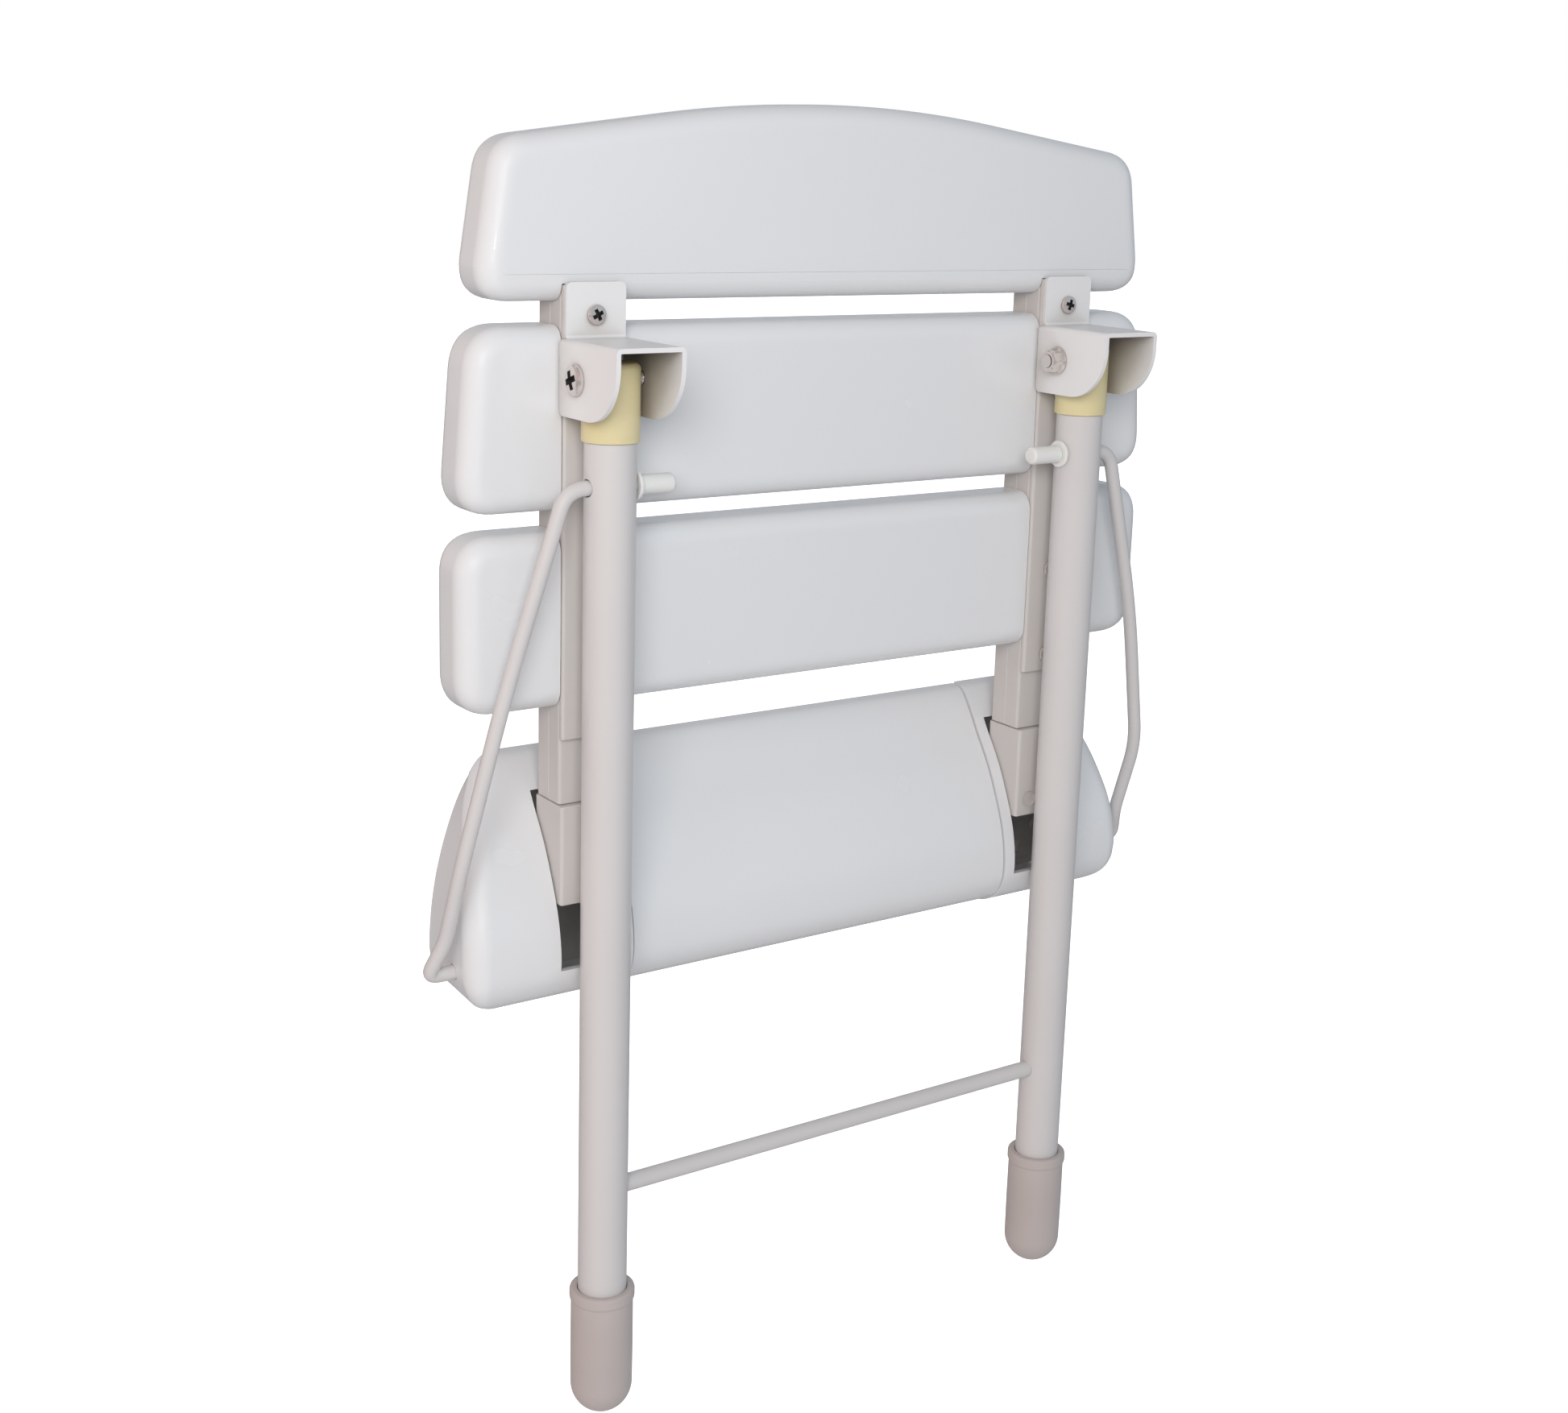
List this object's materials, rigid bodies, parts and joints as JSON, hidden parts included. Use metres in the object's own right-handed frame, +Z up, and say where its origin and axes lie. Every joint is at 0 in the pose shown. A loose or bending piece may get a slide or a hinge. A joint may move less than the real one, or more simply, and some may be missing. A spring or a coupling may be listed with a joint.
{
  "type": "folding shower seat",
  "caption": "Wall-hung shower seat of rounded white slats on hinged arms, with drop legs that swing down on side links as the seat folds out.",
  "frame": {"origin": "centre of the wall plate, on its rear face against the wall", "axes": "+Y points into the wall, -Y into the room, +Z up, X across the seat; X = 0 is the plane of symmetry"},
  "size_m": [0.3974, 0.0925, 0.5825],
  "materials": {
    "gloss_white": "glossy moulded white plastic",
    "coated_white": "white powder coat",
    "cream_plastic": "cream translucent plastic",
    "grey_rubber": "pale grey-beige rubber",
    "stainless": "bright stainless steel",
    "zinc_steel": "zinc-plated steel",
    "white_nylon": "white nylon"
  },
  "bodies": {
    "wall_mount": {"wall_plate": "zinc_steel", "middle_cover": "gloss_white", "left_end_cap": "gloss_white", "left_hinge_lug": "zinc_steel", "left_link_ear": "zinc_steel", "left_rivet_1": "zinc_steel", "left_rivet_2": "zinc_steel", "left_rivet_3": "zinc_steel", "left_rivet_4": "zinc_steel", "right_end_cap": "gloss_white", "right_hinge_lug": "zinc_steel", "right_link_ear": "zinc_steel", "right_rivet_1": "zinc_steel", "right_rivet_2": "zinc_steel", "right_rivet_3": "zinc_steel", "right_rivet_4": "zinc_steel"},
    "seat": {"slat_front_edge": "gloss_white", "slat_middle": "gloss_white", "slat_rear": "gloss_white", "left_axle": "zinc_steel", "left_knuckle": "coated_white", "left_arm": "coated_white", "left_rail": "coated_white", "left_bracket": "coated_white", "left_pivot_bolt": "stainless", "left_pivot_nut": "stainless", "left_tab_screw": "stainless", "left_rail_screw_1": "stainless", "left_rail_screw_2": "stainless", "left_rail_screw_3": "stainless", "right_axle": "zinc_steel", "right_knuckle": "coated_white", "right_arm": "coated_white", "right_rail": "coated_white", "right_bracket": "coated_white", "right_pivot_bolt": "stainless", "right_pivot_nut": "stainless", "right_tab_screw": "stainless", "right_rail_screw_1": "stainless", "right_rail_screw_2": "stainless", "right_rail_screw_3": "stainless"},
    "leg_frame": {"cross_rod": "coated_white", "left_leg": "coated_white", "left_leg_plug": "cream_plastic", "left_foot": "grey_rubber", "right_leg": "coated_white", "right_leg_plug": "cream_plastic", "right_foot": "grey_rubber"},
    "left_stay": {"left_link": "coated_white", "left_link_washer": "white_nylon", "left_link_sleeve": "white_nylon", "left_link_clip": "zinc_steel"},
    "right_stay": {"right_link": "coated_white", "right_link_washer": "white_nylon", "right_link_sleeve": "white_nylon", "right_link_clip": "zinc_steel"}
  },
  "joints": [
    {"name": "seat_fold", "type": "hinge", "parent": "wall_mount", "child": "seat", "pos_m": [0, -0.028, 0.01], "axis": [1, 0, 0], "range_deg": [0, 90]},
    {"name": "leg_swing", "type": "hinge", "parent": "seat", "child": "leg_frame", "pos_m": [0, -0.06, 0.223], "axis": [1, 0, 0], "range_deg": [-90, 0]},
    {"name": "left_stay_swing", "type": "hinge", "parent": "wall_mount", "child": "left_stay", "pos_m": [0, -0.028, -0.0345], "axis": [1, 0, 0], "range_deg": [0, 90]},
    {"name": "right_stay_swing", "type": "hinge", "parent": "wall_mount", "child": "right_stay", "pos_m": [0, -0.028, -0.0345], "axis": [1, 0, 0], "range_deg": [0, 90]}
  ],
  "couplings": [
    {"joint": "leg_swing", "follows": "seat_fold", "ratio": -1},
    {"joint": "left_stay_swing", "follows": "seat_fold", "ratio": 1},
    {"joint": "right_stay_swing", "follows": "seat_fold", "ratio": 1}
  ]
}
